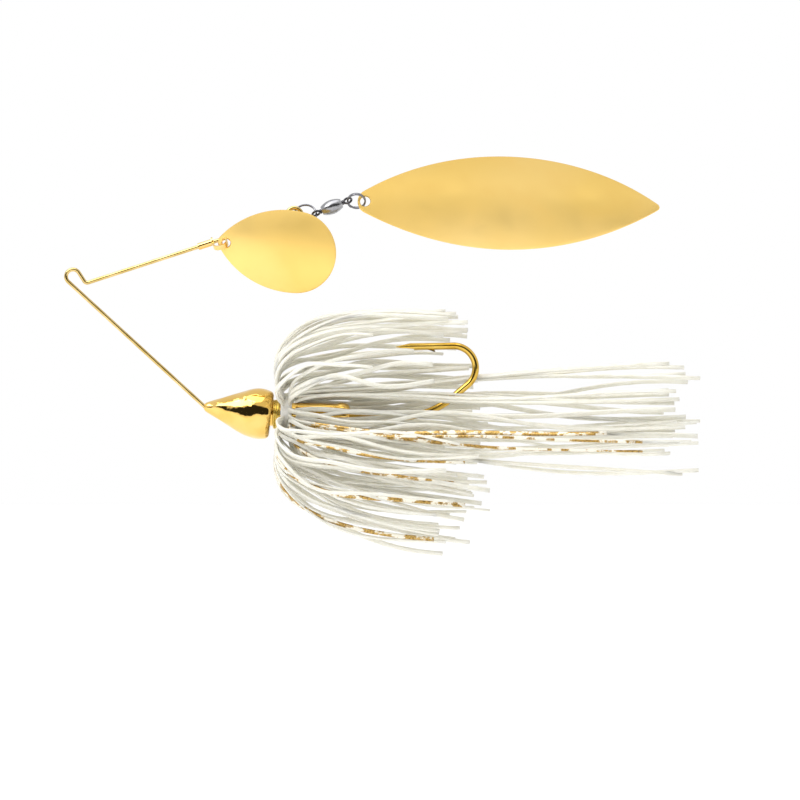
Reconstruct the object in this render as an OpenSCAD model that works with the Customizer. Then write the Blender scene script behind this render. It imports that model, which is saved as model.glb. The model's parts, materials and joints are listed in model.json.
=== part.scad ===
// Tandem-blade spinnerbait in its swimming pose. Millimetres, +Z up, +X towards the tail.
// The origin is the centre of the line tie, the bend where the two arms of the wire meet.
// The wire form, the head and the hook lie in the plane Y = 0.

/* [Wire frame] */
// Diameter of the spring wire
wire_d = 0.8; // [0.7:0.05:1.0]
// Angle of the lower arm below level
lower_arm_angle = 42.5; // [42.2:0.1:42.5]
// Length of the lower arm from the line tie to the nose of the head
lower_arm_l = 37; // [36.6:0.1:37]
// Angle of the upper arm above level
upper_arm_angle = 18; // [15:0.2:20]
// Length of the straight part of the upper arm
upper_arm_l = 41.1; // [38:0.1:46]
// How far the line of the upper arm passes under the line tie's centre
upper_arm_drop = 2.1; // [1.9:0.05:2.3]
// Centreline radius of the line tie
line_tie_r = 1.4; // [1.2:0.05:1.8]
// Centreline radius of the reverse bend beside the line tie
neck_r = 0.7; // [0.6:0.05:0.9]
// Length of the straight leg between those two bends
neck_leg = 2; // [1.2:0.1:2.4]
// Centreline radius of the eye at the end of the upper arm
arm_eye_r = 1.55; // [1.5:0.05:1.6]

/* [Head] */
// Length of the bullet from nose to back
head_l = 13.6; // [12:0.1:15]
// Largest radius of the bullet
head_r = 5.05; // [4.5:0.05:5.6]
// Angle of the bullet's axis below level
head_tilt = 7.5; // [5:0.5:9]
// Radius of the collar that carries the skirt
collar_r = 2.4; // [2.1:0.05:2.7]
// Length of the collar behind the bullet
collar_l = 15.5; // [12:0.5:18]

/* [Hook] */
// Diameter of the hook wire
hook_d = 1.4; // [1.2:0.05:1.6]
// Height of the shank where it leaves the hook's eye
shank_z = -27.4; // [-28:0.1:-27]
// Angle of the shank below level
shank_tilt = 1.4; // [0.5:0.1:2]
// Centreline radius of the round end of the bend
bend_r = 4.4; // [4:0.1:5]

/* [Blades] */
// Length of the willow blade
willow_l = 61; // [56:0.2:64]
// Width of the willow blade
willow_w = 19.4; // [17:0.2:21]
// Length of the Indiana blade
indiana_l = 24; // [22:0.2:26]
// Width of the Indiana blade
indiana_w = 16.3; // [15:0.1:17]
// Thickness of both blades
blade_t = 0.5; // [0.4:0.05:0.6]

/* [Swivel] */
// Centreline radius of the ring in the arm's eye
front_ring_r = 2.2; // [2.1:0.05:2.4]
// Centreline radius of the split ring in the willow blade
rear_ring_r = 1.75; // [1.6:0.05:1.9]
// Distance between the centres of the swivel's two eyes
swivel_l = 6.8; // [6.7:0.1:7.2]
// Largest radius of the swivel's barrel
barrel_r = 1.45; // [1.3:0.05:1.5]

/* [Clevis and beads] */
// Centreline radius of the clevis's round end
clevis_r = 1.35; // [1.3:0.05:1.45]
// Distance from the arm to the centre of the clevis's round end
clevis_reach = 2.3; // [2.2:0.05:2.6]
// Radius of the round beads behind the clevis
bead_r = 1.3; // [1.2:0.05:1.35]
// Length of the tubular bead in front of the clevis
tube_bead_l = 2.8; // [2.4:0.1:3.2]

/* [Skirt] */
// Radius that the flared front half of the skirt opens to
flare_r = 24; // [20:0.2:24.4]
// Length of the flared half along the shank
flare_l = 36; // [32:0.5:38]
// Radius that the long tail of the skirt spreads to
tail_r = 9; // [8:0.5:9.5]
// Length of the long tail
tail_l = 82; // [74:1:84]
// How far the ends of the flared half droop
droop = 1.8; // [1:0.1:3]

/* [Hidden] */

gold = "goldenrod";
steel = "slategray";
pearl = "ivory";
cast_gap = 0.02;      // between a cast or pressed piece and the wire in it
running_gap = 0.06;   // radial clearance of what turns on the upper arm
wire_r = wire_d / 2;
bore_r = wire_r + running_gap;
lap = 0.05;           // how far a straight stretch of wire runs into the bends beside it
lap_step = 0.008;     // how much thinner it is than they are, so that it stays inside them

// Unit vector in the XZ plane at an angle above +X, as [x, z]
function dir(a) = [cos(a), sin(a)];
// The left-hand normal of that direction
function left(a) = [-sin(a), cos(a)];

// Where a path is, and where it heads, after one step of [length] or [radius, turn]
function after(p, a, step) =
    len(step) == 1
        ? [p + step[0] * dir(a), a]
        : [p + sign(step[1]) * step[0] * (left(a) - left(a + step[1])), a + step[1]];
// The same after the first n steps of a path
function reached(p, a, steps, n) =
    n == 0 ? [p, a] : after(reached(p, a, steps, n - 1)[0], reached(p, a, steps, n - 1)[1], steps[n - 1]);

// Wire frame: the line tie, its reverse bend and the two arms. A short straight stretch
// lies between the opposite bends at the arm's eye.
between_bends = 0.12;
neck_to_tie = norm([line_tie_r + neck_r, neck_leg]);
neck_along = sqrt(neck_to_tie ^ 2 - (upper_arm_drop - neck_r) ^ 2);
neck_c = neck_along * dir(upper_arm_angle) - (upper_arm_drop - neck_r) * left(upper_arm_angle);
tie_start = -line_tie_r * left(-lower_arm_angle);
tie_end_heading = atan2(neck_c[1], neck_c[0]) - 90 + atan(neck_leg / (line_tie_r + neck_r));
tie_turn = 180 - lower_arm_angle - tie_end_heading;
neck_turn = upper_arm_angle - tie_end_heading;
eye_kink_r = 0.8;
eye_sum_r = eye_kink_r + arm_eye_r;
eye_kink = acos(eye_kink_r / norm([eye_sum_r, between_bends])) - atan(between_bends / eye_sum_r);
eye_turn = 304;
upper_arm_start = neck_c - neck_r * left(upper_arm_angle);
upper_arm_end = upper_arm_start + upper_arm_l * dir(upper_arm_angle);
arm_eye_c = upper_arm_end
    + (eye_sum_r * sin(eye_kink) + between_bends * cos(eye_kink)) * dir(upper_arm_angle);
nose = tie_start + lower_arm_l * dir(-lower_arm_angle);

// Hook: its eye lies flat inside the head, and the lower arm hooks down through it
hook_r = hook_d / 2;
hook_eye_r = 1.3;
hook_eye_x = nose[0] + 7.4;
hook_eye = [hook_eye_x, shank_z];
shank_l = 29.6;
low_bend_r = 17;
low_bend_turn = 40 + shank_tilt;
low_bend_l = 3.9;
spear_l = 8.6;
point_l = 2.9;
barb_at = 4.6;
hook_start = hook_eye + [hook_eye_r, 0];
hook_steps = [[shank_l], [low_bend_r, low_bend_turn], [low_bend_l], [bend_r, 141], [spear_l]];
hook_tip_at = reached(hook_start, -shank_tilt, hook_steps, 5);

arm_in_head_z = shank_z + hook_r + wire_r + 0.05;
nose_bend_r = (nose[1] - arm_in_head_z) / (1 - cos(lower_arm_angle));
arm_in_head_l = hook_eye_x - hook_eye_r - nose[0] - nose_bend_r * sin(lower_arm_angle);
frame_steps_down = [
    [lower_arm_l], [nose_bend_r, lower_arm_angle], [arm_in_head_l],
    [hook_r + wire_r + 0.05, -90], [1]
];
frame_steps_up = [
    [line_tie_r, -tie_turn], [neck_leg], [neck_r, neck_turn],
    [upper_arm_l], [eye_kink_r, -eye_kink], [between_bends], [arm_eye_r, eye_turn]
];

// Head and collar
head_max_at = 0.81 * head_l;
head_round_r = 7;
head_corner_r = 1;
head_cone_angle = 24.3;
head_round_c = [head_max_at, head_r - head_round_r];
head_join = head_round_c + head_round_r * [-sin(head_cone_angle), cos(head_cone_angle)];
head_tip_r = head_join[1] - head_join[0] * tan(head_cone_angle);
corner_x = head_l - head_corner_r;
corner_c = [
    corner_x,
    head_round_c[1] + sqrt((head_round_r - head_corner_r) ^ 2 - (corner_x - head_max_at) ^ 2)
];
head_back_x = nose[0] + head_l * cos(head_tilt);
shank_at = [hook_start[0], hook_start[1]];
collar_end_x = head_back_x + collar_l;

// Tandem parts on the upper arm, by their distance from the arm's start
clevis_at = 27.55;
clevis_roll = 27;
strip_t = 0.35;
strip_w = 0.9;
ear_r = 1;
blade_hole_r = 0.85;
clevis_gap = 0.1;
first_bead_at = clevis_at + clevis_r + strip_t / 2 + clevis_gap + bead_r;
bead_pitch = 2 * bead_r + 0.12;

// Swivel chain
front_ring_d = 0.42;
front_ring_lift = 6;
front_ring_roll = 28;
front_eye_c = arm_eye_c + 2 * front_ring_r * dir(front_ring_lift);
swivel_angle = 22;
swivel_eye_r = 0.78;
swivel_eye_d = 0.45;
rear_eye_c = front_eye_c + swivel_l * dir(swivel_angle);
rear_ring_lift = -3;
rear_ring_roll = -50;
rear_ring_t = 0.36;
rear_ring_w = 0.7;
willow_hole = rear_eye_c + 2 * rear_ring_r * dir(rear_ring_lift);
barrel_from = 1.25;
barrel_to = 5.5;
barrel_end_r = 0.85;
cavity_r = 0.75;
cavity_from = 1.75;
cavity_to = 4.95;
post_r = 0.3;
ball_r = 0.18;
ball_pitch_r = 0.53;
ball_count = 6;

// Blades
willow_hole_r = 1;
willow_end_r = 2.6;
willow_tip_r = 0.7;
willow_hole_in = 1.5;
willow_angle = 0.35;
willow_lean = -14;
willow_cross_r = 28;
willow_long_r = 170;
indiana_tip_r = 1.75;
indiana_side_r = 18;
indiana_angle = -8.9;
indiana_cross_r = 20;
indiana_long_r = 60;
indiana_rest = 20;

// Skirt
tie_wire_x = head_back_x + 0.7;
skirt_x = head_back_x + 2.35;
skirt_z = shank_z - 0.4;
band_r = collar_r + 0.62;
band_l = 2.2;
root_r = band_r + 0.5;
tie_wire_d = 0.6;
tie_turns = 2;

// --- Helpers -------------------------------------------------------------

// Round wire along a path in the XZ plane, one solid stretch for each step
module wire_path(p, a, steps, d) {
    for (i = [0 : len(steps) - 1]) {
        at = reached(p, a, steps, i);
        if (len(steps[i]) == 1)
            rod(at[0], at[1], steps[i][0], d);
        else
            bend(at[0], at[1], steps[i][0], steps[i][1], d);
    }
}

// A straight stretch of round wire
module rod(p, a, l, d) {
    translate([p[0], 0, p[1]])
        rotate([0, 90 - a, 0])
            translate([0, 0, -lap])
                cylinder(d = d - lap_step, h = l + 2 * lap, $fn = 32);
}

// A bent stretch of round wire, anticlockwise where the turn is positive
module bend(p, a, r, turn, d) {
    c = p + sign(turn) * r * left(a);
    from = turn > 0 ? a - 90 : a + 90 + turn;
    translate([c[0], 0, c[1]])
        rotate([90, 0, 0])
            rotate([0, 0, from])
                rotate_extrude(angle = abs(turn), $fn = 72)
                    translate([r, 0])
                        circle(d = d, $fn = 32);
}

// Puts a shape drawn along +X at a point of the XZ plane, turned up by an angle
module place(p, a) {
    translate([p[0], 0, p[1]])
        rotate([0, -a, 0])
            children();
}

// Puts a shape drawn along +X on the upper arm, at a distance from its start
module on_arm(s) {
    place(upper_arm_start + s * dir(upper_arm_angle), upper_arm_angle)
        children();
}

// A round bar along +X
module bar(from, to, r) {
    translate([from, 0, 0])
        rotate([0, 90, 0])
            cylinder(r = r, h = to - from, $fn = 64);
}

// A ring of round wire whose axis is +Z
module ring(r, d) {
    rotate_extrude($fn = 96)
        translate([r, 0])
            circle(d = d, $fn = 32);
}

// A solid of revolution about +X, from an outline drawn as [along, radius]
module turned() {
    rotate([90, 0, 90])
        rotate_extrude($fn = 128)
            rotate([0, 0, 90])
                mirror([0, 1])
                    children();
}

// --- Wire frame, head and hook -------------------------------------------

module arm_wire_down(d) {
    wire_path(tie_start, -lower_arm_angle, frame_steps_down, d);
}

module wire_frame() {
    color(gold) {
        arm_wire_down(wire_d);
        wire_path(tie_start, 180 - lower_arm_angle, frame_steps_up, wire_d);
    }
}

module head_outline() {
    polygon([[0, 0], [0, head_tip_r], head_join, [head_join[0], 0]]);
    intersection() {
        translate(head_round_c) circle(head_round_r, $fn = 160);
        translate([head_join[0], 0]) square([corner_x - head_join[0], head_r + 1]);
    }
    intersection() {
        translate(corner_c) circle(head_corner_r, $fn = 64);
        translate([corner_x, 0]) square([head_corner_r + 1, head_r + 1]);
    }
    translate([corner_x, 0]) square([head_corner_r, corner_c[1]]);
}

module hook_wire(d) {
    translate([hook_eye[0], 0, hook_eye[1]]) ring(hook_eye_r, d);
    wire_path(hook_start, -shank_tilt, hook_steps, d);
}

module head_weight() {
    color(gold)
        difference() {
            union() {
                place(nose, -head_tilt)
                    turned() head_outline();
                place(shank_at, -shank_tilt)
                    bar(0, collar_end_x - shank_at[0], collar_r);
            }
            arm_wire_down(wire_d + 2 * cast_gap);
            hook_wire(hook_d + 2 * cast_gap);
        }
}

module hook() {
    color(gold) {
        hook_wire(hook_d);
        place(hook_tip_at[0], hook_tip_at[1])
            rotate([0, 90, 0])
                cylinder(r1 = hook_r, r2 = 0.05, h = point_l, $fn = 48);
        place(hook_tip_at[0] - barb_at * dir(hook_tip_at[1]), hook_tip_at[1])
            rotate([90, 0, 0])
                translate([0, 0, -0.25])
                    linear_extrude(0.5)
                        polygon([[0, 0], [-0.4, 1.2], [2.2, 0.3]]);
    }
}

// --- Skirt ---------------------------------------------------------------

module around_shank(x) {
    place(shank_at + (x - shank_at[0]) / cos(shank_tilt) * dir(-shank_tilt), -shank_tilt)
        children();
}

module skirt_band() {
    color(pearl)
        around_shank(skirt_x - 0.6)
            difference() {
                bar(0, band_l, band_r);
                bar(-1, band_l + 1, collar_r + cast_gap);
            }
}

module skirt_tie_wire() {
    color(gold)
        for (i = [0 : tie_turns - 1])
            around_shank(tie_wire_x + i * (tie_wire_d + 0.01))
                rotate([0, 90, 0])
                    ring(collar_r + cast_gap + tie_wire_d / 2, tie_wire_d);
}

// A point of a cubic curve through four control points
function cubic(c, t) =
    (1 - t) ^ 3 * c[0] + 3 * (1 - t) ^ 2 * t * c[1] + 3 * (1 - t) * t ^ 2 * c[2] + t ^ 3 * c[3];

// Radial and sideways directions at an angle from +Z towards -Y
function outward(a) = [0, -sin(a), cos(a)];
function sideways(a) = [0, -cos(a), -sin(a)];

// Control points, as [along, radius], of a flared lock, an inner lock and a tail lock
function flare_curve(r, l) = [[0, root_r], [-6.2, 0.62 * r], [5, 0.97 * r], [l, r]];
function inner_curve(r, l) = [[1.3, root_r], [0.2, 0.6 * r], [9, 0.97 * r], [l, r]];
function tail_curve(r, l, x = 2.5) = [[x, root_r], [x + 2.5, root_r + 2.8], [0.35 * l, r], [l, r]];

// One lock of strands: a flattened tube that is swept along a curve about the shank
module lock(curve, a, w, t, fall) {
    rings = 9;
    sides = 8;
    points = [
        for (i = [0 : rings])
            let (
                u = i / rings,
                c = cubic(curve, u),
                ahead = cubic(curve, min(u + 0.01, 1)) - cubic(curve, min(u + 0.01, 1) - 0.01),
                n = ahead / norm(ahead),
                full = sin(9 + 130 * u) ^ 0.9
            )
                for (j = [0 : sides - 1])
                    let (
                        side = w / 2 * full * cos(360 * j / sides),
                        thick = t / 2 * full * sin(360 * j / sides),
                        x = c[0] - thick * n[1],
                        r = c[1] + thick * n[0]
                    )
                        [skirt_x + x, 0, skirt_z - fall * u ^ 2] + r * outward(a) + side * sideways(a)
    ];
    walls = [
        for (i = [0 : rings - 1])
            for (j = [0 : sides - 1])
                let (k = (j + 1) % sides)
                    [i * sides + j, i * sides + k, (i + 1) * sides + k, (i + 1) * sides + j]
    ];
    root = [for (j = [sides - 1 : -1 : 0]) j];
    tip = [for (j = [0 : sides - 1]) rings * sides + j];
    polyhedron(points, concat(walls, [root, tip]));
}

// The flare is narrower at the sides of the bait than above and below the hook
function flare_at(a) = flare_r * (0.72 + 0.28 * abs(cos(a)));

module flare_locks(angles) {
    for (a = angles)
        color(pearl) lock(flare_curve(flare_at(a), flare_l), a, 6.4, 2.2, droop);
}

module inner_locks(angles) {
    for (a = angles)
        color(pearl) lock(inner_curve(0.58 * flare_at(a), flare_l + 3), a, 4.2, 2, droop / 2);
}

module tail_locks(angles) {
    for (a = angles)
        color(pearl) lock(tail_curve(tail_r, tail_l), a, 3.8, 2.6, 0);
}

module skirt_top_flare() { flare_locks([-30, 0, 30]); }
module skirt_near_flare() { flare_locks([60, 90, 120]); }
module skirt_bottom_flare() { flare_locks([150, 180, 210]); }
module skirt_far_flare() { flare_locks([240, 270, 300]); }
module skirt_inner_near() { inner_locks([45, 105, 165]); }
module skirt_inner_far() { inner_locks([195, 255, 315]); }
module skirt_tail_upper() { tail_locks([-82, -48, 48, 82]); }
module skirt_tail_lower() { tail_locks([120, 150, 180, 210, 240]); }

module skirt_flake_strands() {
    for (i = [0 : 2])
        color(gold) lock(tail_curve(5 + 1.8 * i, 62 - 12 * i, 5.5 - 1.5 * i), 101, 1, 0.8, 0);
}

// --- Upper arm: beads, clevis and the Indiana blade ----------------------

module front_bead() {
    color(gold)
        on_arm(clevis_at - clevis_r - strip_t / 2 - clevis_gap - tube_bead_l)
            difference() {
                bar(0, tube_bead_l, 0.7);
                bar(-1, tube_bead_l + 1, bore_r);
            }
}

module clevis() {
    color(gold)
        on_arm(clevis_at) rotate([clevis_roll, 0, 0]) {
            for (side = [-1, 1])
                translate([side * clevis_r, 0, 0])
                    difference() {
                        union() {
                            bar(-strip_t / 2, strip_t / 2, ear_r);
                            translate([-strip_t / 2, -clevis_reach, -strip_w / 2])
                                cube([strip_t, clevis_reach, strip_w]);
                        }
                        bar(-1, 1, bore_r);
                    }
            translate([0, -clevis_reach, 0])
                rotate([0, 0, 180])
                    rotate_extrude(angle = 180, $fn = 96)
                        translate([clevis_r - strip_t / 2, -strip_w / 2])
                            square([strip_t, strip_w]);
        }
}

// A thin sheet that is dished along X and across Z, with its crown at y = 0 and its hollow
// towards +Y
module dished_sheet(cross_r, long_r, t, l) {
    rotate([0, 0, 90])
        translate([long_r - t / 2, 0, 0])
            rotate([0, 0, 180 - l])
                rotate_extrude(angle = 2 * l, $fn = 360)
                    translate([long_r - cross_r, 0])
                        difference() {
                            circle(cross_r, $fn = 180);
                            circle(cross_r - t, $fn = 180);
                            translate([-cross_r, 0]) square(2.4 * cross_r, center = true);
                        }
}

// Teardrop from the hole at the origin towards +X
indiana_end_r = indiana_w / 2;
indiana_gap = indiana_l - indiana_tip_r - indiana_end_r;
indiana_from_tip = indiana_side_r - indiana_tip_r;
indiana_from_end = indiana_side_r - indiana_end_r;
indiana_side_x = (indiana_gap ^ 2 - indiana_from_tip ^ 2 + indiana_from_end ^ 2) / (2 * indiana_gap);
indiana_side_y = sqrt(indiana_from_end ^ 2 - indiana_side_x ^ 2);

module indiana_outline() {
    side_c = [indiana_gap - indiana_side_x, indiana_side_y];
    tip_on = side_c[0] - side_c[0] * indiana_side_r / (indiana_side_r - indiana_tip_r);
    difference() {
        union() {
            circle(indiana_tip_r, $fn = 64);
            translate([indiana_gap, 0]) circle(indiana_end_r, $fn = 128);
            intersection() {
                translate([side_c[0], -side_c[1]]) circle(indiana_side_r, $fn = 180);
                translate([side_c[0], side_c[1]]) circle(indiana_side_r, $fn = 180);
                translate([tip_on, -indiana_w]) square([indiana_gap - tip_on, 2 * indiana_w]);
            }
        }
        circle(blade_hole_r, $fn = 64);
    }
}

module indiana_blade() {
    color(gold)
        on_arm(clevis_at)
            translate(clevis_reach * [0, -cos(clevis_roll), -sin(clevis_roll)])
                rotate([0, 0, -indiana_rest])
                    translate([clevis_r, 0, 0])
                        rotate([0, upper_arm_angle - indiana_angle, 0])
                            rotate([0, 0, asin(indiana_gap / indiana_long_r)])
                                intersection() {
                                    rotate([90, 0, 0])
                                        translate([0, 0, -10])
                                            linear_extrude(20) indiana_outline();
                                    translate([indiana_gap, -indiana_gap ^ 2 / (2 * indiana_long_r), 0])
                                        dished_sheet(indiana_cross_r, indiana_long_r, blade_t, 20);
                                }
}

module rear_bead(i) {
    color(gold)
        on_arm(first_bead_at + i * bead_pitch)
            difference() {
                sphere(bead_r, $fn = 64);
                bar(-bead_r - 1, bead_r + 1, bore_r);
            }
}

module rear_bead_1() { rear_bead(0); }
module rear_bead_2() { rear_bead(1); }
module rear_bead_3() { rear_bead(2); }
module rear_bead_4() { rear_bead(3); }

// --- Swivel and the willow blade -----------------------------------------

module swivel_front_ring() {
    color(steel)
        place(arm_eye_c + front_ring_r * dir(front_ring_lift), front_ring_lift)
            rotate([90 - front_ring_roll, 0, 0])
                ring(front_ring_r, front_ring_d);
}

module swivel_eye(roll) {
    rotate([roll, 0, 0]) ring(swivel_eye_r, swivel_eye_d);
}

module swivel_front_eye() {
    color(steel)
        place(front_eye_c, swivel_angle) {
            swivel_eye(-front_ring_roll);
            bar(swivel_eye_r, cavity_from + 2 * ball_r + 0.35, post_r);
            bar(cavity_from + 2 * ball_r + 0.05, cavity_from + 2 * ball_r + 0.4, cavity_r - 0.06);
            bar(swivel_eye_r + 0.1, barrel_from - 0.06, 0.48);
        }
}

module swivel_body() {
    length = barrel_to - barrel_from;
    bulge_r = ((length / 2) ^ 2 + (barrel_r - barrel_end_r) ^ 2) / (2 * (barrel_r - barrel_end_r));
    color(steel)
        place(front_eye_c, swivel_angle)
            difference() {
                turned()
                    intersection() {
                        translate([barrel_from + length / 2, barrel_r - bulge_r])
                            circle(bulge_r, $fn = 180);
                        translate([barrel_from, 0]) square([length, barrel_r + 1]);
                    }
                bar(cavity_from, cavity_to, cavity_r);
                bar(0, cavity_from + 1, post_r + running_gap);
                bar(cavity_to - 1, barrel_to + 1, post_r + 0.05 + cast_gap);
            }
}

module swivel_balls() {
    color(steel)
        place(front_eye_c, swivel_angle)
            for (i = [0 : ball_count - 1])
                rotate([i * 360 / ball_count, 0, 0])
                    translate([cavity_from + ball_r + 0.02, 0, ball_pitch_r])
                        sphere(ball_r, $fn = 48);
}

module swivel_rear_eye() {
    color(steel)
        place(front_eye_c, swivel_angle) {
            translate([swivel_l, 0, 0]) swivel_eye(rear_ring_roll - 90);
            bar(cavity_to - 0.35, swivel_l - swivel_eye_r, post_r + 0.05);
            bar(cavity_to - 0.4, cavity_to - 0.05, 0.6);
            bar(barrel_to + 0.05, swivel_l - swivel_eye_r - 0.1, 0.48);
        }
}

module swivel_rear_ring() {
    color(steel)
        place(rear_eye_c + rear_ring_r * dir(rear_ring_lift), rear_ring_lift)
            rotate([rear_ring_roll, 0, 0])
                rotate_extrude($fn = 96)
                    translate([rear_ring_r, 0])
                        square([rear_ring_t, rear_ring_w], center = true);
}

// Leaf from the hole at the origin towards +X: two long arcs between two round ends
willow_half_w = willow_w / 2;

// How far a round end's centre lies from the widest place, on a leaf with edge radius r
function leaf_reach(r, end_r) = sqrt((r - end_r) ^ 2 - (r - willow_half_w) ^ 2);
// Length of a leaf with this edge radius, less the one that is wanted
function leaf_error(r) =
    leaf_reach(r, willow_end_r) + willow_end_r + leaf_reach(r, willow_tip_r) + willow_tip_r - willow_l;
// Edge radius that gives the length, by halving the interval
function leaf_radius(low, high, n) =
    n == 0 ? (low + high) / 2
        : leaf_error((low + high) / 2) > 0 ? leaf_radius(low, (low + high) / 2, n - 1)
        : leaf_radius((low + high) / 2, high, n - 1);
willow_edge_r = leaf_radius(20, 120, 30);
willow_end_x = willow_end_r - willow_hole_in;
willow_wide_x = willow_end_x + leaf_reach(willow_edge_r, willow_end_r);
willow_tip_x = willow_wide_x + leaf_reach(willow_edge_r, willow_tip_r);
into_tip = 0.12; // how far the long arcs run on into the tip's circle

module willow_outline() {
    spread = willow_edge_r - willow_half_w;
    from = willow_wide_x - (willow_wide_x - willow_end_x) * willow_edge_r / (willow_edge_r - willow_end_r);
    to = willow_wide_x + (willow_tip_x - willow_wide_x) * willow_edge_r / (willow_edge_r - willow_tip_r);
    difference() {
        union() {
            translate([willow_end_x, 0]) circle(willow_end_r, $fn = 96);
            translate([willow_tip_x, 0]) circle(willow_tip_r, $fn = 64);
            intersection() {
                translate([willow_wide_x, -spread]) circle(willow_edge_r, $fn = 360);
                translate([willow_wide_x, spread]) circle(willow_edge_r, $fn = 360);
                translate([from, -willow_w]) square([to - from + into_tip, 2 * willow_w]);
            }
        }
        circle(willow_hole_r, $fn = 64);
    }
}

module willow_blade() {
    color(gold)
        place(willow_hole, willow_angle)
            rotate([willow_lean, 0, 0])
                rotate([0, 0, asin(willow_wide_x / willow_long_r) / 2])
                    intersection() {
                        rotate([90, 0, 0])
                            translate([0, 0, -10])
                                linear_extrude(20) willow_outline();
                        translate([willow_wide_x, -willow_wide_x ^ 2 / (2 * willow_long_r), 0])
                            dished_sheet(willow_cross_r, willow_long_r, blade_t, 16);
                    }
}

wire_frame();
head_weight();
hook();
skirt_band();
skirt_tie_wire();
skirt_top_flare();
skirt_near_flare();
skirt_bottom_flare();
skirt_far_flare();
skirt_inner_near();
skirt_inner_far();
skirt_tail_upper();
skirt_tail_lower();
skirt_flake_strands();
front_bead();
clevis();
indiana_blade();
rear_bead_1();
rear_bead_2();
rear_bead_3();
rear_bead_4();
swivel_front_ring();
swivel_front_eye();
swivel_body();
swivel_balls();
swivel_rear_eye();
swivel_rear_ring();
willow_blade();
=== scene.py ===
import json
import math

import bpy
import numpy as np
from mathutils import Matrix, Vector


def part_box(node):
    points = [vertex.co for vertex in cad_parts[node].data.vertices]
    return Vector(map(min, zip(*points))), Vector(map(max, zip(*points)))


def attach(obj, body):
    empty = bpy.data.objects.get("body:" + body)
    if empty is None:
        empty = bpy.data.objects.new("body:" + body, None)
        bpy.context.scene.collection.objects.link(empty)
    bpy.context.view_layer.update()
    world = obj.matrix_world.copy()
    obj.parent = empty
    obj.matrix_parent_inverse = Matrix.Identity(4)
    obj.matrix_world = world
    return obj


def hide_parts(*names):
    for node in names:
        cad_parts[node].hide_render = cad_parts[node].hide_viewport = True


# Looks of the tandem-blade spinnerbait. Metres, in the CAD part's frame: +Z up, +X to the tail,
# and the wire form in the plane Y = 0. Sizes below are in millimetres times MM.

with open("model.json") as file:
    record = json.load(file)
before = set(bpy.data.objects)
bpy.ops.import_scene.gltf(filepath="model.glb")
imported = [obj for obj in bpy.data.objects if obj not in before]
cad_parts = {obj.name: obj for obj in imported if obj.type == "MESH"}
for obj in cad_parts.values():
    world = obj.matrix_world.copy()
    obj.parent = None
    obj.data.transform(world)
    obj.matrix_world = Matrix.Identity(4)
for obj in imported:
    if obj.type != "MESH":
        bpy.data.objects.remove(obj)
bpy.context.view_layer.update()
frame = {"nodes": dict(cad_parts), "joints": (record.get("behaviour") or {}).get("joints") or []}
MM = 0.001
rng = np.random.default_rng(31)
JOINTS = {j["name"]: j for j in frame["joints"]}


# --- Studio ------------------------------------------------------------------

CAMERA_AT = Vector((0.0654, -0.8, -0.0247))
FLOOR_Z = -0.125


def set_camera():
    data = bpy.data.cameras.new("camera")
    data.sensor_width = 36
    data.lens = 180
    data.clip_start = 0.05
    data.clip_end = 20
    camera = bpy.data.objects.new("camera", data)
    bpy.context.scene.collection.objects.link(camera)
    camera.location = CAMERA_AT
    camera.rotation_euler = (math.radians(90), 0, 0)
    bpy.context.scene.camera = camera


def link_light(light, pieces, state):
    """Lets a light reach only these pieces, or all but these."""
    chosen = bpy.data.collections.new(light.name)
    for piece in pieces:
        chosen.objects.link(piece)
    for member in chosen.collection_objects:
        member.light_linking.link_state = state
    light.light_linking.receiver_collection = chosen


def add_area(name, place, aim, size, watts):
    """A softbox that the camera itself doesn't see."""
    data = bpy.data.lights.new(name, "AREA")
    data.shape = "RECTANGLE"
    data.size, data.size_y = size
    data.energy = watts
    light = bpy.data.objects.new(name, data)
    bpy.context.scene.collection.objects.link(light)
    light.location = place
    light.rotation_euler = (Vector(aim) - Vector(place)).to_track_quat("-Z", "Y").to_euler()
    light.visible_camera = False
    return light


def add_sky_light(strength, spread):
    """A broad light from overhead, which keeps the floor as bright as the room."""
    data = bpy.data.lights.new("overhead", "SUN")
    data.energy = strength
    data.angle = math.radians(spread)
    light = bpy.data.objects.new("overhead", data)
    bpy.context.scene.collection.objects.link(light)
    light.rotation_euler = (math.radians(12), math.radians(-8), 0)
    return light


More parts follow.
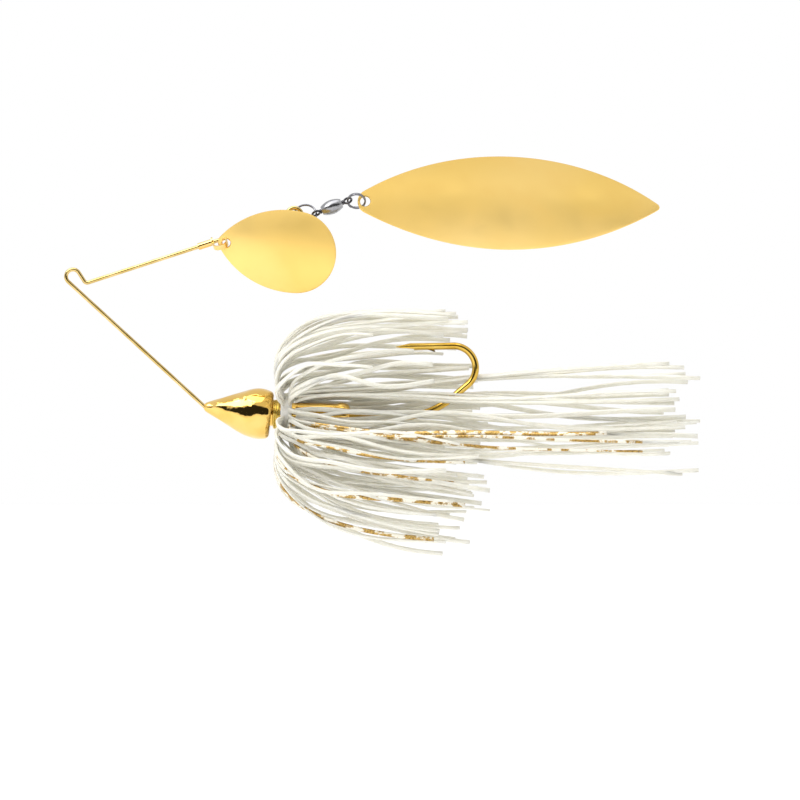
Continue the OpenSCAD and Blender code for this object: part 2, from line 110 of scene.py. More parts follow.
def set_world():
    """A white room with one dark wall behind the camera, which the polished gold reflects."""
    world = bpy.data.worlds.new("studio")
    bpy.context.scene.world = world
    world.use_nodes = True
    tree = world.node_tree
    tree.nodes.clear()
    coords = tree.nodes.new("ShaderNodeTexCoord")
    squeeze = tree.nodes.new("ShaderNodeVectorMath")
    squeeze.operation = "MULTIPLY"
    squeeze.inputs[1].default_value = (0.4, 1, 1)
    unit = tree.nodes.new("ShaderNodeVectorMath")
    unit.operation = "NORMALIZE"
    toward = tree.nodes.new("ShaderNodeVectorMath")
    toward.operation = "DOT_PRODUCT"
    toward.inputs[1].default_value = (0, -0.994, 0.11)
    wall = tree.nodes.new("ShaderNodeMapRange")
    wall.interpolation_type = "SMOOTHSTEP"
    wall.inputs["From Min"].default_value = 0.83
    wall.inputs["From Max"].default_value = 0.88
    wall.inputs["To Min"].default_value = 0.92
    wall.inputs["To Max"].default_value = 0.03
    seen = tree.nodes.new("ShaderNodeLightPath")
    choose = tree.nodes.new("ShaderNodeMath")
    choose.operation = "MAXIMUM"
    background = tree.nodes.new("ShaderNodeBackground")
    background.inputs["Color"].default_value = (1, 1, 1, 1)
    out = tree.nodes.new("ShaderNodeOutputWorld")
    link = tree.links.new
    link(coords.outputs["Generated"], squeeze.inputs[0])
    link(squeeze.outputs[0], unit.inputs[0])
    link(unit.outputs[0], toward.inputs[0])
    link(toward.outputs["Value"], wall.inputs["Value"])
    link(wall.outputs["Result"], choose.inputs[0])
    link(seen.outputs["Is Camera Ray"], choose.inputs[1])
    link(choose.outputs[0], background.inputs["Strength"])
    link(background.outputs[0], out.inputs["Surface"])


# --- Materials ---------------------------------------------------------------


class Shader:
    """A material under construction: one Principled surface and the nodes that feed it."""

    def __init__(self, name, **surface):
        self.material = bpy.data.materials.new(name)
        self.material.use_nodes = True
        self.tree = self.material.node_tree
        self.tree.nodes.clear()
        self.surface = self.node("ShaderNodeBsdfPrincipled", **surface)
        out = self.node("ShaderNodeOutputMaterial")
        self.link(self.surface.outputs[0], out.inputs["Surface"])

    def link(self, start, end):
        self.tree.links.new(start, end)

    def node(self, kind, links=None, **values):
        made = self.tree.nodes.new(kind)
        for key, value in values.items():
            socket = key.replace("_", " ")
            if socket in made.inputs:
                made.inputs[socket].default_value = value
            else:
                setattr(made, key, value)
        for key, start in (links or {}).items():
            self.link(start, made.inputs[key])
        return made

    def object_coords(self, stretch=(1, 1, 1), turn=(0, 0, 0)):
        coords = self.node("ShaderNodeTexCoord")
        mapping = self.node("ShaderNodeMapping", {"Vector": coords.outputs["Object"]})
        mapping.inputs["Scale"].default_value = stretch
        mapping.inputs["Rotation"].default_value = turn
        return mapping.outputs[0]

    def noise(self, vector, scale, detail=2.0, roughness=0.5):
        links = {"Vector": vector}
        made = self.node(
            "ShaderNodeTexNoise", links, Scale=scale, Detail=detail, Roughness=roughness
        )
        return made.outputs["Fac"]

    def spread(self, value, low, high, to_low, to_high):
        made = self.node("ShaderNodeMapRange", {"Value": value})
        made.inputs["From Min"].default_value = low
        made.inputs["From Max"].default_value = high
        made.inputs["To Min"].default_value = to_low
        made.inputs["To Max"].default_value = to_high
        return made.outputs["Result"]

    def blend(self, factor, first, second):
        made = self.node("ShaderNodeMix", {"Factor": factor}, data_type="RGBA")
        made.inputs["A"].default_value = (0, 0, 0, 1)
        for key, colour in (("A", first), ("B", second)):
            socket = [s for s in made.inputs if s.name == key and s.type == "RGBA"][0]
            if isinstance(colour, tuple):
                socket.default_value = (*colour, 1)
            else:
                self.link(colour, socket)
        return [s for s in made.outputs if s.type == "RGBA"][0]

    def math(self, operation, first, second=0.0):
        made = self.node("ShaderNodeMath", operation=operation)
        for socket, value in zip(made.inputs, (first, second)):
            if isinstance(value, float):
                socket.default_value = value
            else:
                self.link(value, socket)
        return made.outputs[0]

    def scaled(self, vector, factors):
        made = self.node("ShaderNodeVectorMath", {0: vector}, operation="MULTIPLY")
        made.inputs[1].default_value = factors
        return made.outputs[0]

    def bump(self, height, strength, distance, before=None):
        links = {"Height": height}
        if before:
            links["Normal"] = before
        return self.node("ShaderNodeBump", links, Strength=strength, Distance=distance).outputs[0]

    def feed(self, **sockets):
        for key, start in sockets.items():
            self.link(start, self.surface.inputs[key.replace("_", " ")])


def gold(name, pale, deep, rough, grain=900, stretch=(1, 1, 1), wobble=0.0, pits=0.02):
    """Plated gold: slow colour drift, uneven polish, fine pits and, on a casting, a slow wobble."""
    s = Shader(name, Metallic=1.0)
    place = s.object_coords(stretch)
    drift = s.noise(place, grain * 0.25, 2)
    fine = s.noise(place, grain * 14, 3, 0.6)
    polish = s.noise(place, grain * 1.3, 3)
    normal = s.bump(fine, pits, 0.00002)
    if wobble:
        normal = s.bump(s.noise(place, grain * 0.55, 1.5), wobble, 0.0006, normal)
    s.feed(
        Base_Color=s.blend(s.spread(drift, 0.35, 0.65, 0, 1), pale, deep),
        Roughness=s.spread(polish, 0.3, 0.7, rough * 0.75, rough * 1.3),
        Normal=normal,
    )
    return s.material


def steel(name, pale, deep, rough, metallic=1.0):
    s = Shader(name, Metallic=metallic)
    place = s.object_coords((1, 1, 1), (0, math.radians(26), 0))
    drift = s.noise(place, 1400, 3)
    fine = s.noise(place, 16000, 3)
    s.feed(
        Base_Color=s.blend(s.spread(drift, 0.35, 0.65, 0, 1), pale, deep),
        Roughness=s.spread(fine, 0.3, 0.7, rough * 0.8, rough * 1.3),
        Normal=s.bump(fine, 0.05, 0.00002),
    )
    return s.material


def rubber(name, pale, deep):
    s = Shader(name, Metallic=0.0)
    place = s.object_coords()
    fine = s.noise(place, 5000, 4)
    s.feed(
        Base_Color=s.blend(s.spread(fine, 0.3, 0.7, 0, 1), pale, deep),
        Roughness=s.spread(fine, 0.3, 0.7, 0.45, 0.65),
        Normal=s.bump(fine, 0.2, 0.00004),
    )
    return s.material


def strand_parts(s):
    """The point's [across, along, strand number], and the first of them alone."""
    held = s.node("ShaderNodeAttribute", attribute_name="strand").outputs["Vector"]
    return held, s.node("ShaderNodeSeparateXYZ", {"Vector": held}).outputs["X"]


def pearl_silicone(name):
    """White silicone with pearl flecks, their sheen painted in as a lighter colour: milky, soft at
    the edges, ribbed along its length.
    """
    s = Shader(
        name,
        Metallic=0.0,
        IOR=1.41,
        Subsurface_Weight=0.5,
        Subsurface_Scale=0.0014,
        Coat_Weight=0.12,
        Coat_Roughness=0.25,
    )
    s.surface.inputs["Subsurface Radius"].default_value = (1.0, 0.95, 0.85)
    held, across = strand_parts(s)
    cloud = s.noise(s.scaled(held, (1.2, 0.35, 37.0)), 1.0, 3)
    # pearl flecks: the flecks are real pigment, but their sheen is painted in as a lighter base
    # colour (a painted highlight)
    flecks = s.node("ShaderNodeTexVoronoi", {"Vector": s.object_coords()}, Scale=5200.0)
    painted_fleck_sheen = s.spread(flecks.outputs["Distance"], 0.12, 0.3, 1, 0)
    milky = s.blend(s.spread(cloud, 0.3, 0.7, 0, 1), (0.7, 0.68, 0.58), (0.83, 0.81, 0.73))
    ribs = s.math("SINE", s.math("MULTIPLY", across, 11.0))
    s.feed(
        Base_Color=s.blend(painted_fleck_sheen, milky, (0.9, 0.89, 0.83)),
        Roughness=s.spread(cloud, 0.3, 0.7, 0.34, 0.5),
        Normal=s.bump(cloud, 0.25, 0.0001, s.bump(ribs, 0.25, 0.00002)),
    )
    return s.material


def flake_silicone(name):
    """Silicone with gold leaf in it: broken gold dashes along a straw-coloured strand."""
    s = Shader(name, IOR=1.41, Subsurface_Weight=0.0)
    held, _ = strand_parts(s)
    dash = s.noise(s.scaled(held, (0.3, 0.36, 61.0)), 1.0, 2, 0.6)
    ragged = s.noise(s.object_coords(), 3200, 3)
    leaf = s.spread(s.math("ADD", dash, s.math("MULTIPLY", ragged, 0.3)), 0.6, 0.66, 0, 1)
    foil = s.blend(s.spread(ragged, 0.3, 0.7, 0, 1), (0.3, 0.17, 0.04), (0.6, 0.4, 0.12))
    s.feed(
        Base_Color=s.blend(leaf, (0.9, 0.86, 0.74), foil),
        Metallic=s.math("MULTIPLY", leaf, 0.7),
        Roughness=s.spread(ragged, 0.3, 0.7, 0.2, 0.4),
        Normal=s.bump(ragged, 0.3, 0.00006),
    )
    return s.material


def floor_paint():
    s = Shader("floor_paint", Roughness=0.9)
    fine = s.noise(s.object_coords(), 40, 4)
    s.feed(Base_Color=s.blend(fine, (0.93, 0.93, 0.93), (0.95, 0.95, 0.95)))
    return s.material


# --- Mesh helpers ------------------------------------------------------------


def make_piece(name, points, faces, material, body, replaces=(), strand=None):
    mesh = bpy.data.meshes.new(name)
    mesh.from_pydata([tuple(p) for p in points], [], faces)
    mesh.update()
    mesh.shade_smooth()
    mesh.materials.append(material)
    if strand is not None:
        held = mesh.attributes.new("strand", "FLOAT_VECTOR", "POINT")
        held.data.foreach_set("vector", np.asarray(strand, np.float32).ravel())
    piece = bpy.data.objects.new(name, mesh)
    bpy.context.scene.collection.objects.link(piece)
    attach(piece, body)
    if replaces:
        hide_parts(*replaces)
    return piece


def rings_to_faces(rings, sides, start=0, closed=False):
    faces = []
    for i in range(rings if closed else rings - 1):
        here, there = start + i * sides, start + (i + 1) % rings * sides
        for j in range(sides):
            k = (j + 1) % sides
            faces.append((here + j, here + k, there + k, there + j))
    return faces


def axes_about(along):
    """A unit axis in the plane Y = 0 or near it, and two directions square to it."""
    axis = np.array(along, float)
    axis /= np.linalg.norm(axis)
    up = np.cross((0, 1, 0), axis)
    up /= np.linalg.norm(up)
    return axis, up, np.cross(axis, up)


def sweep(path, section, first_normal, twist, start=0):
    """A section carried along a path, its normal passed on from ring to ring, and capped."""
    count = len(path)
    tangents = np.gradient(path, axis=0)
    tangents /= np.linalg.norm(tangents, axis=1)[:, None]
    normal = np.array(first_normal, float)
    points = []
    for i in range(count):
        t = tangents[i]
        normal = normal - t * (normal @ t)
        normal /= np.linalg.norm(normal)
        side = np.cross(t, normal)
        c, s = math.cos(twist[i]), math.sin(twist[i])
        n, b = c * normal + s * side, c * side - s * normal
        points.append(path[i] + section[:, :1] * b + section[:, 1:] * n)
    sides = len(section)
    faces = rings_to_faces(count, sides, start)
    faces.append(tuple(start + j for j in range(sides))[::-1])
    faces.append(tuple(start + (count - 1) * sides + j for j in range(sides)))
    return np.concatenate(points), faces


def lathe(profile, origin, along, segments, start=0, dent=None):
    """A closed solid of revolution from [along, radius] pairs whose ends lie on the axis."""
    origin, (axis, up, side) = np.array(origin), axes_about(along)
    points = []
    inner = profile[1:-1]
    for x, r in inner:
        for j in range(segments):
            a = 2 * math.pi * j / segments
            out = r + (dent(x, a) if dent else 0)
            points.append(origin + x * axis + out * (math.cos(a) * up + math.sin(a) * side))
    points += [origin + profile[0][0] * axis, origin + profile[-1][0] * axis]
    faces = rings_to_faces(len(inner), segments, start)
    first, last = start + len(inner) * segments, start + len(inner) * segments + 1
    for j in range(segments):
        k = (j + 1) % segments
        faces.append((start + k, start + j, first))
        tail = start + (len(inner) - 1) * segments
        faces.append((tail + j, tail + k, last))
    return points, faces


def arc(centre, radius, start, stop, count):
    """Points of an arc, with its angles in degrees."""
    angles = np.radians(np.linspace(start, stop, count))
    return [(centre[0] + radius * math.cos(a), centre[1] + radius * math.sin(a)) for a in angles]


# --- Head --------------------------------------------------------------------

HEAD_TILT = math.radians(7.5)
SHANK_TILT = math.radians(1.4)
HEAD_L = 13.6 * MM
HEAD_R = 5.05 * MM
HEAD_WIDEST = 0.81  # of the head's length, from its nose
COLLAR_R = 2.4 * MM
COLLAR_FRONT = 5 * MM  # ahead of the band's middle, inside the head


def head_profile():
    """The bullet from its nose to its back face: a cone, a long round and a small corner."""
    round_r, corner_r, cone = 7 * MM, 1 * MM, 24.3
    wide_x = HEAD_WIDEST * HEAD_L
    centre = (wide_x, HEAD_R - round_r)
    join = (
        centre[0] - round_r * math.sin(math.radians(cone)),
        centre[1] + round_r * math.cos(math.radians(cone)),
    )
    nose_r = join[1] - join[0] * math.tan(math.radians(cone))
    corner_x = HEAD_L - corner_r
    corner_y = centre[1] + math.sqrt((round_r - corner_r) ** 2 - (corner_x - wide_x) ** 2)
    to_corner = math.degrees(math.atan2(corner_y - centre[1], corner_x - wide_x))
    profile = [(0, 0), (0, nose_r * 0.55), (0.00012, nose_r * 0.9), (0.0003, nose_r + 0.0001)]
    for f in np.linspace(0.08, 0.95, 18):
        profile.append((join[0] * f, nose_r + (join[1] - nose_r) * f))
    profile += arc(centre, round_r, 90 + cone, to_corner, 26)
    profile += arc((corner_x, corner_y), corner_r, to_corner, 0, 7)[1:]
    profile += [(HEAD_L, corner_y * 0.8), (HEAD_L, corner_y * 0.4), (HEAD_L, 0)]
    return profile


def cast_dent(x, a):
    """Slow unevenness of a plated casting, a few hundredths of a millimetre."""
    u = x / HEAD_L
    fade = min(1, 6 * u) * 0.035 * MM
    wave = math.sin(3 * a + 5 * u) + 0.7 * math.sin(5 * a - 11 * u + 1)
    return fade * (wave + 0.5 * math.sin(8 * a + 17 * u))


def build_head(material):
    low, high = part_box("head_weight")
    # the box is centred on the widest ring, which lies below the nose by the head's tilt
    to_widest = HEAD_WIDEST * HEAD_L * math.sin(HEAD_TILT)
    nose = Vector((low.x, 0, (low.z + high.z) / 2 + to_widest))
    along = Vector((math.cos(HEAD_TILT), 0, -math.sin(HEAD_TILT)))
    points, faces = lathe(head_profile(), nose, along, 160, 0, cast_dent)
    shank = Vector((math.cos(SHANK_TILT), 0, -math.sin(SHANK_TILT)))
    band_low, band_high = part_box("skirt_band")
    at = Vector(((band_low.x + band_high.x) / 2, 0, (band_low.z + band_high.z) / 2))
    front = at - COLLAR_FRONT * shank
    back = (high.x - front.x) / shank.x
    lip = 0.28 * MM
    collar = [(0, 0), (0, COLLAR_R * 0.7), (0.2 * MM, COLLAR_R)]
    collar += [(x, COLLAR_R) for x in np.linspace(0.5 * MM, back - 3.2 * MM, 14)]
    collar += [
        (back - 2.6 * MM, COLLAR_R + 0.25 * lip),
        (back - 2.1 * MM, COLLAR_R + 0.9 * lip),
        (back - 1.6 * MM, COLLAR_R + lip),
        (back - 1.0 * MM, COLLAR_R + 0.6 * lip),
        (back - 0.45 * MM, COLLAR_R - 0.3 * lip),
        (back - 0.12 * MM, COLLAR_R - 1.4 * lip),
        (back, COLLAR_R - 2.6 * lip),
        (back, COLLAR_R * 0.4),
        (back, 0),
    ]
    more, more_faces = lathe(collar, front, shank, 96, len(points))
    points, faces = points + more, faces + more_faces
    return make_piece(
        "head_casting", points, faces, material, "frame", ["head_weight"]
    )


# --- Blades ------------------------------------------------------------------


def blade_outline(arcs, count, turn_weight):
    """Half outline from arcs, mirrored and sampled evenly by length plus turn about the hole."""
    half = []
    for centre, radius, start, stop in arcs:
        half += arc(centre, radius, start, stop, 200)[(1 if half else 0):]
    half = np.array(half)
    whole = np.concatenate([half, half[-2:0:-1] * [1, -1]])
    closed = np.concatenate([whole, whole[:1]])
    step = np.linalg.norm(np.diff(closed, axis=0), axis=1)
    angle = np.unwrap(np.arctan2(closed[:, 1], closed[:, 0]))
    weight = np.concatenate([[0], np.cumsum(step + turn_weight * np.abs(np.diff(angle)))])
    want = np.linspace(0, weight[-1], count, endpoint=False)
    return np.stack([np.interp(want, weight, closed[:, i]) for i in (0, 1)], axis=1)


def dish(x, z, wide_x, cross_r, long_r, thick):
    """Height of the mid surface over the blade's plane: hollow towards +Y, crown at wide_x."""
    ring = (long_r - cross_r) + np.sqrt((cross_r - thick / 2) ** 2 - z**2)
    sheet = (long_r - thick / 2) - np.sqrt(ring**2 - (x - wide_x) ** 2)
    return sheet - wide_x**2 / (2 * long_r)


def build_blade(name, node, body, arcs, hole_r, dish_values, place, material, rings=44, count=320):
    """A pressed blade as one closed skin: hole, crown side, rounded rim, hollow side."""
    thick = dish_values[-1]
    outline = blade_outline(arcs, count, 9 * MM)
    reach = np.linalg.norm(outline, axis=1)
    ray = outline / reach[:, None]
    half = thick / 2
    edge = [math.radians(v) for v in (18, 42, 66, 90, 114, 138, 162)]
    fractions = np.linspace(0, 1, rings) ** 1.15
    loops = [(f, 0, half) for f in fractions]
    loops += [(1, half * math.sin(v), half * math.cos(v)) for v in edge]
    loops += [(f, 0, -half) for f in fractions[::-1]]
    loops += [(0, -half * math.sin(v), -half * math.cos(v)) for v in edge]
    points = []
    small = 1e-6
    for f, over, lift in loops:
        inner, outer = hole_r + half, reach - half
        along = inner + (outer - inner) * f + over
        flat = ray * along[:, None]
        x, z = flat[:, 0], flat[:, 1]
        y = dish(x, z, *dish_values)
        slope_x = (dish(x + small, z, *dish_values) - y) / small
        slope_z = (dish(x, z + small, *dish_values) - y) / small
        normal = np.stack([slope_x, -np.ones_like(x), slope_z], axis=1)
        normal /= np.linalg.norm(normal, axis=1)[:, None]
        points.append(np.stack([x, y, z], axis=1) + lift * normal)
    points = np.concatenate(points)
    faces = rings_to_faces(len(loops), count, 0, closed=True)
    points = [place @ Vector(p) for p in points]
    return make_piece(name, points, faces, material, body, [node])


def turn(degrees, axis):
    return Matrix.Rotation(math.radians(degrees), 4, axis)


def leaf_arcs(length, width, end_r, tip_r, hole_in):
    """Arcs of a willow leaf's upper edge about its hole, and where the leaf is widest."""
    half_w = width / 2

    def reach(r, round_r):
        return math.sqrt((r - round_r) ** 2 - (r - half_w) ** 2)

    low, high = 20 * MM, 200 * MM
    for _ in range(60):
        r = (low + high) / 2
        too_long = reach(r, end_r) + end_r + reach(r, tip_r) + tip_r > length
        low, high = (low, r) if too_long else (r, high)
    end_x = end_r - hole_in
    wide_x = end_x + reach(r, end_r)
    tip_x = wide_x + reach(r, tip_r)
    leave = math.degrees(math.atan2(r - half_w, end_x - wide_x))
    meet = math.degrees(math.atan2(r - half_w, tip_x - wide_x))
    arcs = [
        ((end_x, 0), end_r, 180, leave),
        ((wide_x, half_w - r), r, leave, meet),
        ((tip_x, 0), tip_r, meet, 0),
    ]
    return arcs, wide_x


WILLOW_RISE = 0.35  # degrees that the leaf points above the level
WILLOW_LEAN = 14  # degrees that its hollow turns down, about its length
INDIANA_LEAN = 20  # degrees that the small blade swings out from the arm
INDIANA_DIP = 8.9  # degrees that it points below the level
INDIANA_HANG = 1.35 * MM  # from the joint's point to the middle of the blade's hole


def build_willow(material):
    thick, long_r = 0.5 * MM, 170 * MM
    arcs, wide_x = leaf_arcs(61 * MM, 19.4 * MM, 2.6 * MM, 0.7 * MM, 1.5 * MM)
    hole = Vector(JOINTS["large_blade_swing"]["pos_m"])
    rise = math.degrees(math.asin(wide_x / long_r)) / 2
    place = Matrix.Translation(hole) @ turn(-WILLOW_RISE, "Y") @ turn(-WILLOW_LEAN, "X")
    place = place @ turn(rise, "Z")
    values = (wide_x, 28 * MM, long_r, thick)
    return build_blade(
        "willow_leaf", "willow_blade", "large_blade", arcs, 1.0 * MM, values, place, material
    )


def build_indiana(material):
    thick, long_r, cross_r = 0.5 * MM, 60 * MM, 20 * MM
    length, end_r, tip_r, side_r = 24 * MM, 8.15 * MM, 1.75 * MM, 18 * MM
    gap = length - tip_r - end_r
    side_x = (gap**2 - (side_r - tip_r) ** 2 + (side_r - end_r) ** 2) / (2 * gap)
    side_y = math.sqrt((side_r - end_r) ** 2 - side_x**2)
    centre = (gap - side_x, -side_y)
    leave = math.degrees(math.atan2(side_y, -centre[0]))
    meet = math.degrees(math.atan2(side_y, gap - centre[0]))
    arcs = [((0, 0), tip_r, 180, leave), (centre, side_r, leave, meet), ((gap, 0), end_r, meet, 0)]
    clevis_at = Vector(JOINTS["small_blade_swing"]["pos_m"])
    back = JOINTS["blade_slide"]["axis"]
    arm_angle = math.degrees(math.atan2(-back[2], -back[0]))
    place = (
        Matrix.Translation(clevis_at)
        @ turn(-arm_angle, "Y")
        @ turn(-INDIANA_LEAN, "Z")
        @ Matrix.Translation((INDIANA_HANG, 0, 0))
        @ turn(arm_angle + INDIANA_DIP, "Y")
        @ turn(math.degrees(math.asin(gap / long_r)), "Z")
    )
    values = (gap, cross_r, long_r, thick)
    return build_blade(
        "indiana_shell", "indiana_blade", "small_blade", arcs, 0.85 * MM, values, place, material
    )


# --- Wound wire: the skirt's tie and the split ring --------------------------


def oblong(w, h, corner, halfway=()):
    """A rectangle of half sizes w and h with cut corners, and points halfway on its long sides."""
    c = corner
    lower = [(-w, -h + c), (-w + c, -h), *[(x, -h) for x in halfway], (w - c, -h), (w, -h + c)]
    return np.array(lower + [(-x, -z) for x, z in lower])


def round_section(radius, sides=14):
    a = np.linspace(0, 2 * math.pi, sides, endpoint=False)
    return np.stack([radius * np.cos(a), radius * np.sin(a)], axis=1)


def coil(centre, axis, radius, turns, length, per_turn, wobble=0.0, start=0.0):
    """A helix about an axis through its middle."""
    centre, (axis, up, side) = np.array(centre), axes_about(axis)
    count = int(turns * per_turn)
    points = []
    for i in range(count + 1):
        f = i / count
        a = start + 2 * math.pi * turns * f
        r = radius + wobble * math.sin(5 * a + 1) * math.sin(2.3 * a)
        round_it = r * (math.cos(a) * up + math.sin(a) * side)
        points.append(centre + (f - 0.5) * length * axis + round_it)
    return np.array(points)


def build_tie(material):
    low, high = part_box("skirt_tie_wire")
    head_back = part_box("head_weight")[0].x + HEAD_L * math.cos(HEAD_TILT)
    band_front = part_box("skirt_band")[0].x
    centre = Vector(((head_back + band_front) / 2, 0, (low.z + high.z) / 2))
    shank = Vector((math.cos(SHANK_TILT), 0, -math.sin(SHANK_TILT)))
    wire_r = 0.27 * MM
    length = band_front - head_back - 2 * wire_r
    path = coil(centre, shank, COLLAR_R + wire_r, 2.8, length, 60, 0.05 * MM, 1.2)
    outward = path[0] - np.array(centre)
    points, faces = sweep(path, round_section(wire_r), outward, np.zeros(len(path)))
    return make_piece(
        "tie_winding", points, faces, material, "frame", ["skirt_tie_wire"]
    )


SPLIT_RING_ROLL = -50  # degrees about the line from the swivel's eye to the leaf's hole


def build_split_ring(material):
    eye = Vector(JOINTS["split_ring_swing"]["pos_m"])
    hole = Vector(JOINTS["large_blade_swing"]["pos_m"])
    lift = math.atan2(hole.z - eye.z, hole.x - eye.x)
    roll = math.radians(SPLIT_RING_ROLL)
    upright = Vector((-math.sin(lift), 0, math.cos(lift)))
    axis = math.cos(roll) * upright - math.sin(roll) * Vector((0, 1, 0))
    path = coil((eye + hole) / 2, axis, (hole - eye).length / 2, 1.94, 0.36 * MM, 72, 0.0, 2.2)
    section = oblong(0.165 * MM, 0.17 * MM, 0.05 * MM)
    outward = path[0] - np.array((eye + hole) / 2)
    points, faces = sweep(path, section, outward, np.zeros(len(path)))
    return make_piece(
        "split_ring_coil", points, faces, material, "split_ring", ["swivel_rear_ring"]
    )


# --- Skirt -------------------------------------------------------------------

# radii in millimetres about the skirt's axis
FLARE_R = 24
TAIL_R = 9
ROOT_R = 3.5
ORIGIN_IN = 0.67 * MM  # behind the front face of the band
ORIGIN_UP = 0.03 * MM  # above the middle of the band


def skirt_origin():
    low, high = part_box("skirt_band")
    return np.array((low.x + ORIGIN_IN, 0, (low.z + high.z) / 2 + ORIGIN_UP))


def strand_controls(kind, r, length):
    """Control points, [along, radius] in millimetres, of the three ways to leave the band."""
    if kind == "flare":
        return [(0, ROOT_R), (-6.2 * r / FLARE_R, 0.62 * r), (5, 0.97 * r), (length, r)]
    if kind == "inner":
        return [(1.3, ROOT_R), (0.2, 0.6 * r), (9, 0.97 * r), (length, r)]
    return [(2.5, ROOT_R), (5, min(ROOT_R + 2.8, max(r, ROOT_R))), (0.35 * length, r), (length, r)]


def strand_path(kind, angle, r, length, fall, wander, samples):
    controls = np.array(strand_controls(kind, r, length), float)
    u = np.linspace(0, 1, samples)[:, None]
    c = (1 - u) ** 3 * controls[0] + 3 * (1 - u) ** 2 * u * controls[1]
    c = c + 3 * (1 - u) * u**2 * controls[2] + u**3 * controls[3]
    a = math.radians(angle)
    outward = np.array((0, -math.sin(a), math.cos(a)))
    sideways = np.array((0, -math.cos(a), -math.sin(a)))
    u = u[:, 0]
    grow = np.minimum(1, 1.6 * u) ** 1.3 * wander
    waves = rng.uniform(0.6, 1.5, 2)
    phases = rng.uniform(0, 2 * math.pi, 4)
    ripple = 0.35 * np.sin(5 * math.pi * u + phases[1])
    side = grow * (np.sin(2 * math.pi * waves[0] * u + phases[0]) + ripple)
    lift = 0.7 * grow * np.sin(2 * math.pi * waves[1] * u + phases[2])
    side -= side[0]
    lift -= lift[0]
    path = c[:, :1] * np.array((1, 0, 0))
    path = path + (c[:, 1] + lift)[:, None] * outward + side[:, None] * sideways
    path[:, 2] -= fall * u**2
    return skirt_origin() + path * MM, outward


def build_strands(name, nodes, strands, material, samples=34):
    """Every strand of one lock group, as flat square-cut ribbons in one mesh."""
    points, faces, held = [], [], []
    total = 0
    for number, (kind, angle, r, length, fall, wander) in enumerate(strands):
        width = rng.uniform(0.74, 0.95) * MM
        thick = rng.uniform(0.4, 0.5) * MM
        path, outward = strand_path(kind, angle, r, length, fall, wander, samples)
        section = oblong(width / 2, thick / 2, 0.14 * thick, [0])
        turns = math.radians(rng.uniform(-110, 110))
        twist = math.radians(rng.uniform(-25, 25)) + turns * np.linspace(0, 1, samples) ** 1.4
        more, more_faces = sweep(path, section, outward, twist, total)
        points.append(more)
        faces += more_faces
        total += len(more)
        steps = np.linalg.norm(np.diff(path, axis=0), axis=1)
        gone = np.repeat(np.concatenate([[0], np.cumsum(steps)]) / MM, len(section))
        across = np.tile(section[:, 0] / (width / 2), samples)
        held.append(np.stack([across, gone, np.full(len(more), number)], axis=1))
    return make_piece(
        name, np.concatenate(points), faces, material, "frame", nodes, np.concatenate(held)
    )


def flare_at(angle):
    return FLARE_R * (0.72 + 0.28 * abs(math.cos(math.radians(angle))))


def fan(kind, angles, reach, length, fall, wander):
    """Strands at these angles, each with its own reach and length from the given ranges."""
    made = []
    for angle in angles:
        full = TAIL_R if kind == "tail" else flare_at(angle)
        r = full * rng.uniform(*reach)
        made.append((kind, angle + rng.uniform(-3, 3), r, rng.uniform(*length), fall, wander))
    return made


def build_skirt(pearl, flake):
    made = []

    def group(name, node, strands):
        made.append(build_strands(name, [node], strands, pearl))

    top = fan("flare", np.linspace(-46, 26, 15), (0.93, 1.01), (30, 37), 2.4, 1.2)
    top += fan("flare", np.linspace(-44, 12, 9), (0.72, 0.92), (30, 38), 2.4, 1.4)
    group("strands_top", "skirt_top_flare", top)
    bottom = fan("flare", np.linspace(138, 222, 16), (0.9, 1.04), (28, 38), 2.4, 1.2)
    bottom += fan("flare", np.linspace(136, 224, 11), (0.62, 0.88), (33, 42), 2.0, 1.4)
    group("strands_bottom", "skirt_bottom_flare", bottom)
    near = fan("flare", [104, 110, 116, 122, 128, 134], (0.6, 0.98), (31, 39), 2.0, 1.4)
    near += fan("flare", [36, 55], (0.86, 0.94), (15, 20), 1.0, 0.8)
    group("strands_near", "skirt_near_flare", near)
    far = fan("flare", np.linspace(228, 312, 18), (0.7, 1.0), (31, 39), 2.0, 1.4)
    group("strands_far", "skirt_far_flare", far)
    inner = fan("inner", [112, 124, 134, 144, 154, 164, 172], (0.4, 0.78), (32, 42), 1.2, 1.3)
    inner += fan("inner", [34, 44, 54], (0.5, 0.72), (22, 36), 1.0, 1.3)
    inner += fan("inner", [80, 98], (0.3, 0.4), (26, 34), 5.0, 0.8)
    group("strands_inner_near", "skirt_inner_near", inner)
    inner = fan("inner", np.linspace(190, 328, 18), (0.4, 0.8), (34, 42), 1.2, 1.3)
    group("strands_inner_far", "skirt_inner_far", inner)
    tail = fan("tail", np.linspace(-90, 6, 13), (0.35, 1.2), (76, 84), -0.5, 1.7)
    tail += fan("tail", [45, 78], (0.5, 0.7), (77, 82), 0.0, 1.2)
    group("strands_tail_upper", "skirt_tail_upper", tail)
    tail = fan("tail", np.linspace(98, 258, 18), (0.35, 1.35), (76, 84), 0.5, 1.7)
    group("strands_tail_lower", "skirt_tail_lower", tail)
    # kind, angle, radius, length, fall and wander of each
    flakes = [
        ("tail", 114, 13.6, 71, 0.0, 0.5),
        ("tail", 119, 14.2, 71, 0.0, 0.5),
        ("tail", 110, 12.0, 64, 0.0, 0.6),
        ("inner", 124, 16.0, 36, 0.0, 0.5),
        ("flare", 142, 22.0, 36, 1.0, 0.6),
        ("inner", 136, 17.0, 34, 1.0, 0.6),
        ("flare", 172, 24.0, 30, 1.5, 0.5),
    ]
    nodes = ["skirt_flake_strands"]
    made.append(build_strands("strands_flake", nodes, flakes, flake))
    return made


# --- The scene ---------------------------------------------------------------


def paint(node, material):
    for slot in frame["nodes"][node].material_slots:
        slot.material = material


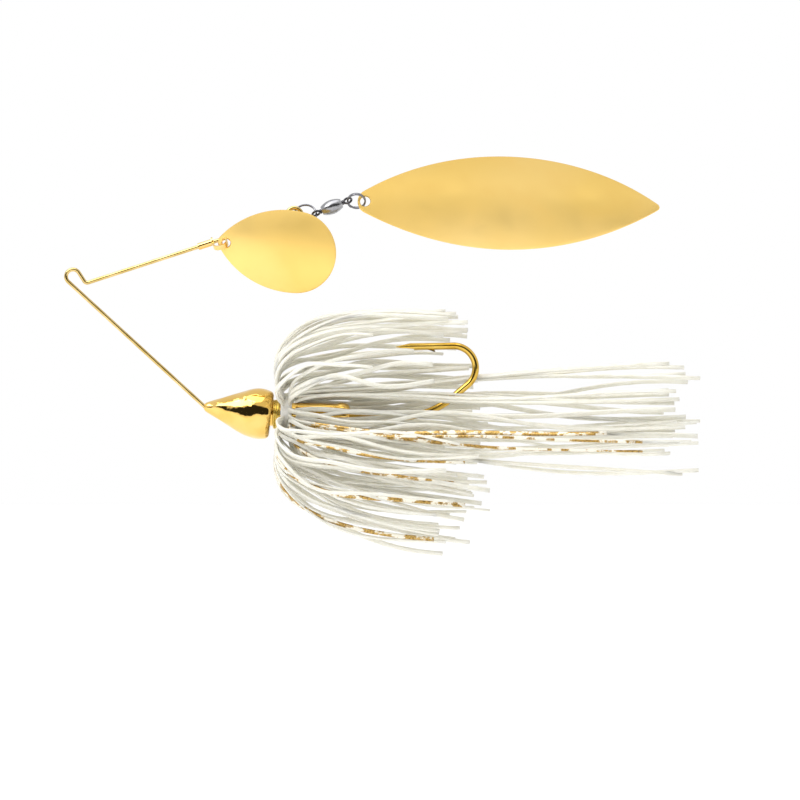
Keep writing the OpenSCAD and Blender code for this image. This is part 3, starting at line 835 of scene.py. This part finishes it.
def build_floor():
    half = 3.0
    mesh = bpy.data.meshes.new("floor")
    corners = [(-half, -half), (half, -half), (half, half), (-half, half)]
    mesh.from_pydata([(x, y, FLOOR_Z) for x, y in corners], [], [(0, 1, 2, 3)])
    mesh.materials.append(floor_paint())
    floor = bpy.data.objects.new("floor", mesh)
    bpy.context.scene.collection.objects.link(floor)


bpy.context.scene.view_settings.view_transform = "Standard"
set_camera()
set_world()
build_floor()
key = add_area("key", (-0.35, -0.4, 0.5), (0.06, 0, -0.02), (0.45, 0.45), 2.4)
overhead = add_sky_light(1.1, 50)

wire_gold = gold("wire_gold", (0.76, 0.57, 0.24), (0.58, 0.41, 0.13), 0.14, 1200)
head_gold = gold("head_gold", (0.87, 0.59, 0.19), (0.78, 0.49, 0.11), 0.06, 700, wobble=0.35)
hook_gold = gold("hook_gold", (0.8, 0.54, 0.12), (0.64, 0.39, 0.06), 0.12, 1000)
bead_gold = gold("bead_gold", (0.88, 0.62, 0.24), (0.76, 0.5, 0.15), 0.1, 1000)
blade_gold = gold("blade_gold", (0.96, 0.69, 0.26), (0.92, 0.63, 0.18), 0.4, 120, pits=0.06)
tie_gold = gold("tie_gold", (0.86, 0.68, 0.2), (0.7, 0.5, 0.1), 0.25, 1500)
pearl = pearl_silicone("pearl_strands")
flake = flake_silicone("flake_strands")
ring_steel = steel("ring_wire", (0.26, 0.26, 0.28), (0.14, 0.14, 0.16), 0.2)
body_steel = steel("swivel_barrel", (0.4, 0.4, 0.41), (0.28, 0.28, 0.3), 0.24)
ball_steel = steel("bearing_steel", (0.75, 0.75, 0.76), (0.65, 0.65, 0.66), 0.1)
black_nickel = steel("black_nickel", (0.09, 0.085, 0.09), (0.05, 0.05, 0.055), 0.22)

build_head(head_gold)
leaf = build_willow(blade_gold)
shell = build_indiana(blade_gold)
link_light(key, [leaf, shell], "EXCLUDE")
link_light(overhead, [leaf, shell], "EXCLUDE")
blade_fill = add_area("blade_fill", (-0.25, -1.3, 0.0), (0.06, 0, 0), (3.9, 2.8), 25)
link_light(blade_fill, [leaf, shell], "INCLUDE")
build_tie(tie_gold)
build_split_ring(ring_steel)
skirt = build_skirt(pearl, flake)
skirt_fill = add_area("skirt_fill", (0.0, -1.2, 0.2), (0.08, 0, -0.03), (1.6, 1.6), 3.0)
link_light(skirt_fill, skirt, "INCLUDE")

paint("wire_frame", wire_gold)
paint("hook", hook_gold)
paint("skirt_band", rubber("band_rubber", (0.85, 0.84, 0.8), (0.72, 0.71, 0.66)))
paint("clevis", bead_gold)
paint("front_bead", bead_gold)
for i in range(4):
    paint(f"rear_bead_{i + 1}", bead_gold)
paint("swivel_front_ring", ring_steel)
paint("swivel_front_eye", black_nickel)
paint("swivel_rear_eye", black_nickel)
paint("swivel_body", body_steel)
paint("swivel_balls", ball_steel)
